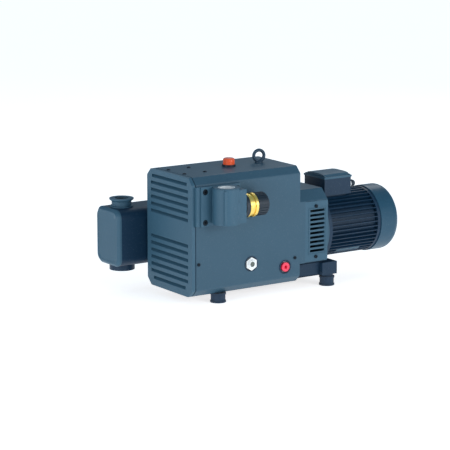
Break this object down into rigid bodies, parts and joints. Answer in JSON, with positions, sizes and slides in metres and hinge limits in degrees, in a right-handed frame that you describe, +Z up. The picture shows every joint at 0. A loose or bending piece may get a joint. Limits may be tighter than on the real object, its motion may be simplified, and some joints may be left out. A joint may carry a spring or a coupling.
{
  "type": "rotary vane vacuum pump",
  "caption": "Oil-lubricated rotary vane vacuum pump in a louvred sound hood, driven by a flange motor, with a side inlet, vacuum relief valve and exhaust silencer.",
  "frame": {"origin": "centre of the four foot threads, at floor level under the rubber feet", "axes": "+X along the shaft from the louvred front to the motor, -Y towards the inlet side, +Z up"},
  "size_m": [0.931, 0.494, 0.4495],
  "materials": {
    "paint_dark": "semi-gloss enamel",
    "paint_blue": "semi-gloss enamel",
    "paint_light": "semi-gloss enamel",
    "frame_paint": "satin powder coat",
    "rubber": "matt",
    "zinc": "zinc plated",
    "dark_screw": "black oxide",
    "forged": "dull zinc",
    "cast": "machined",
    "case_alu": "cast",
    "cooler_alu": "extruded",
    "fan_alu": "cast",
    "steel": "ground",
    "reed_steel": "polished",
    "bronze": "machined",
    "brass": "turned",
    "vane_carbon": "matt",
    "black_plastic": "moulded",
    "cap_red": "moulded",
    "plug_red": "lacquered",
    "glass_white": "moulded",
    "lens": "clear",
    "filter_media": "pleated",
    "spider_red": "elastomer",
    "winding": "varnished copper"
  },
  "bodies": {
    "machine": {"base_frame": "frame_paint", "foot_rubbers": "rubber", "foot_plates": "zinc", "hood": "paint_blue", "front_panel": "paint_light", "rear_panel": "paint_dark", "hood_screws": "zinc", "eye_bolt": "forged", "lifting_post": "steel", "oil_case": "case_alu", "sight_glass_body": "glass_white", "sight_glass_lens": "lens", "separator_box": "case_alu", "separator_cover": "case_alu", "separator_elements": "filter_media", "exhaust_reeds": "reed_steel", "filler_neck": "black_plastic", "pump_cylinder": "cast", "front_cover": "cast", "rear_cover": "cast", "cover_bolts": "zinc", "shaft_bushes": "bronze", "shaft_seal": "rubber", "oil_cooler": "cooler_alu", "intake_duct": "case_alu", "exhaust_duct": "case_alu", "inlet_block": "paint_light", "inlet_screws": "dark_screw", "check_spring": "zinc", "relief_body": "black_plastic", "relief_ring": "brass", "silencer_body": "paint_blue", "silencer_cap": "paint_light", "silencer_port": "paint_light", "silencer_core": "zinc", "bell_housing": "paint_blue", "bell_grilles": "paint_light", "grille_screws": "dark_screw", "motor_flange": "paint_dark", "motor_frame": "paint_dark", "stator": "winding", "motor_bearings": "zinc", "rear_shield": "paint_dark", "fan_cover": "paint_blue", "terminal_box": "paint_dark", "terminal_lid": "paint_light", "cable_glands": "black_plastic"},
    "rotor_group": {"rotor": "steel", "vanes": "vane_carbon", "cooling_fan": "fan_alu", "pump_hub": "cast", "coupling_spider": "spider_red"},
    "motor_group": {"motor_rotor": "steel", "motor_fan": "black_plastic", "motor_hub": "cast"},
    "inlet_disc": {"check_valve": "reed_steel"},
    "valve_poppet": {"relief_poppet": "reed_steel"},
    "valve_knob": {"relief_knob": "black_plastic"},
    "oil_cap": {"filler_cap": "cap_red"},
    "oil_plug": {"drain_plug": "plug_red"}
  },
  "joints": [
    {"name": "motor_spin", "type": "hinge", "parent": "machine", "child": "motor_group", "pos_m": [0.325, 0, 0.18], "axis": [1, 0, 0], "continuous": true},
    {"name": "rotor_spin", "type": "hinge", "parent": "machine", "child": "rotor_group", "pos_m": [-0.09, 0, 0.18], "axis": [1, 0, 0], "continuous": true},
    {"name": "inlet_disc_lift", "type": "slide", "parent": "machine", "child": "inlet_disc", "axis": [0, 0, -1], "range_m": [0, 0.01], "stiffness_N_per_m": 60, "springref_m": -0.02},
    {"name": "poppet_lift", "type": "slide", "parent": "machine", "child": "valve_poppet", "axis": [1, 0, 0], "range_m": [0, 0.006], "stiffness_N_per_m": 300, "springref_m": -0.008},
    {"name": "knob_turn", "type": "hinge", "parent": "machine", "child": "valve_knob", "pos_m": [-0.11, -0.17, 0.311], "axis": [1, 0, 0], "range_deg": [-300, 300]},
    {"name": "cap_lift", "type": "slide", "parent": "machine", "child": "oil_cap", "axis": [0, 0, 1], "range_m": [0, 0.04]},
    {"name": "drain_pull", "type": "slide", "parent": "machine", "child": "oil_plug", "axis": [0, -1, 0], "range_m": [0, 0.04]}
  ],
  "couplings": [
    {"joint": "rotor_spin", "follows": "motor_spin", "ratio": 1}
  ]
}
